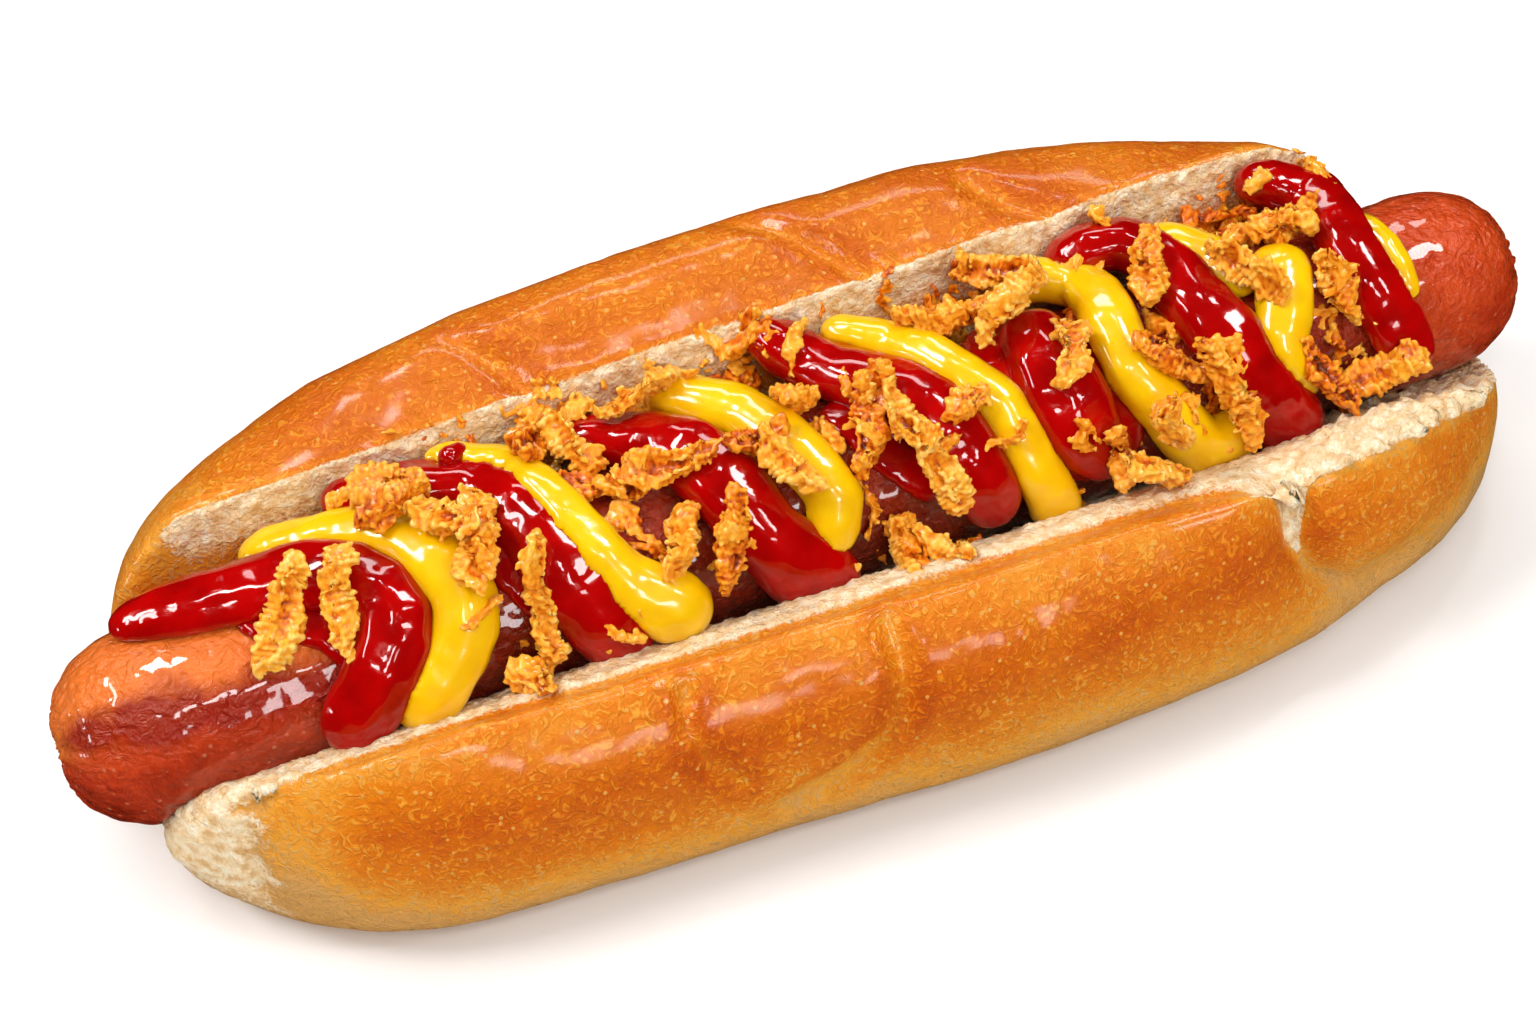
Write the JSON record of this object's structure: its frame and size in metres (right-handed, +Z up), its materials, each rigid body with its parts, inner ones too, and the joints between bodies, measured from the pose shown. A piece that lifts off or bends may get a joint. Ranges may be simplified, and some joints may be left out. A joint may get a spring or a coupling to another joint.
{
  "type": "hot dog",
  "caption": "Hot dog: a smoked sausage in a soft roll split along its top, with strokes of ketchup and mustard and strips of fried onion.",
  "frame": {"origin": "middle of the flat underside of the roll, below the middle of the sausage", "axes": "+X along the roll and the sausage, +Y from the low front side of the roll to its high back side, +Z up"},
  "size_m": [0.1914, 0.0772, 0.0453],
  "materials": {
    "baked_roll": "satin golden brown crust over pale crumb",
    "smoked_sausage": "glossy smoked skin",
    "tomato_ketchup": "wet gloss",
    "yellow_mustard": "wet gloss",
    "fried_onion": "crisp rough batter"
  },
  "bodies": {
    "root": {"bun": "baked_roll", "sausage": "smoked_sausage", "ketchup_1": "tomato_ketchup", "ketchup_2": "tomato_ketchup", "ketchup_3": "tomato_ketchup", "ketchup_4": "tomato_ketchup", "ketchup_5": "tomato_ketchup", "ketchup_6": "tomato_ketchup", "ketchup_7": "tomato_ketchup", "mustard_1": "yellow_mustard", "mustard_2": "yellow_mustard", "mustard_3": "yellow_mustard", "mustard_4": "yellow_mustard", "mustard_5": "yellow_mustard", "mustard_6": "yellow_mustard", "mustard_7": "yellow_mustard", "mustard_8": "yellow_mustard", "onion_strip_01": "fried_onion", "onion_strip_02": "fried_onion", "onion_strip_03": "fried_onion", "onion_strip_04": "fried_onion", "onion_strip_05": "fried_onion", "onion_strip_06": "fried_onion", "onion_strip_07": "fried_onion", "onion_strip_08": "fried_onion", "onion_strip_09": "fried_onion", "onion_strip_10": "fried_onion", "onion_strip_11": "fried_onion", "onion_strip_12": "fried_onion", "onion_strip_13": "fried_onion", "onion_strip_14": "fried_onion", "onion_strip_15": "fried_onion", "onion_strip_16": "fried_onion", "onion_strip_17": "fried_onion", "onion_strip_18": "fried_onion", "onion_strip_19": "fried_onion", "onion_strip_20": "fried_onion", "onion_strip_21": "fried_onion", "onion_strip_22": "fried_onion", "onion_strip_23": "fried_onion", "onion_strip_24": "fried_onion", "onion_strip_25": "fried_onion", "onion_strip_26": "fried_onion", "onion_strip_27": "fried_onion", "onion_strip_28": "fried_onion", "onion_strip_29": "fried_onion", "onion_strip_30": "fried_onion", "onion_strip_31": "fried_onion", "onion_strip_32": "fried_onion", "onion_strip_33": "fried_onion", "onion_strip_34": "fried_onion", "onion_strip_35": "fried_onion", "onion_strip_36": "fried_onion", "onion_strip_37": "fried_onion", "onion_strip_38": "fried_onion", "onion_strip_39": "fried_onion", "onion_strip_40": "fried_onion", "onion_strip_41": "fried_onion"}
  },
  "joints": []
}
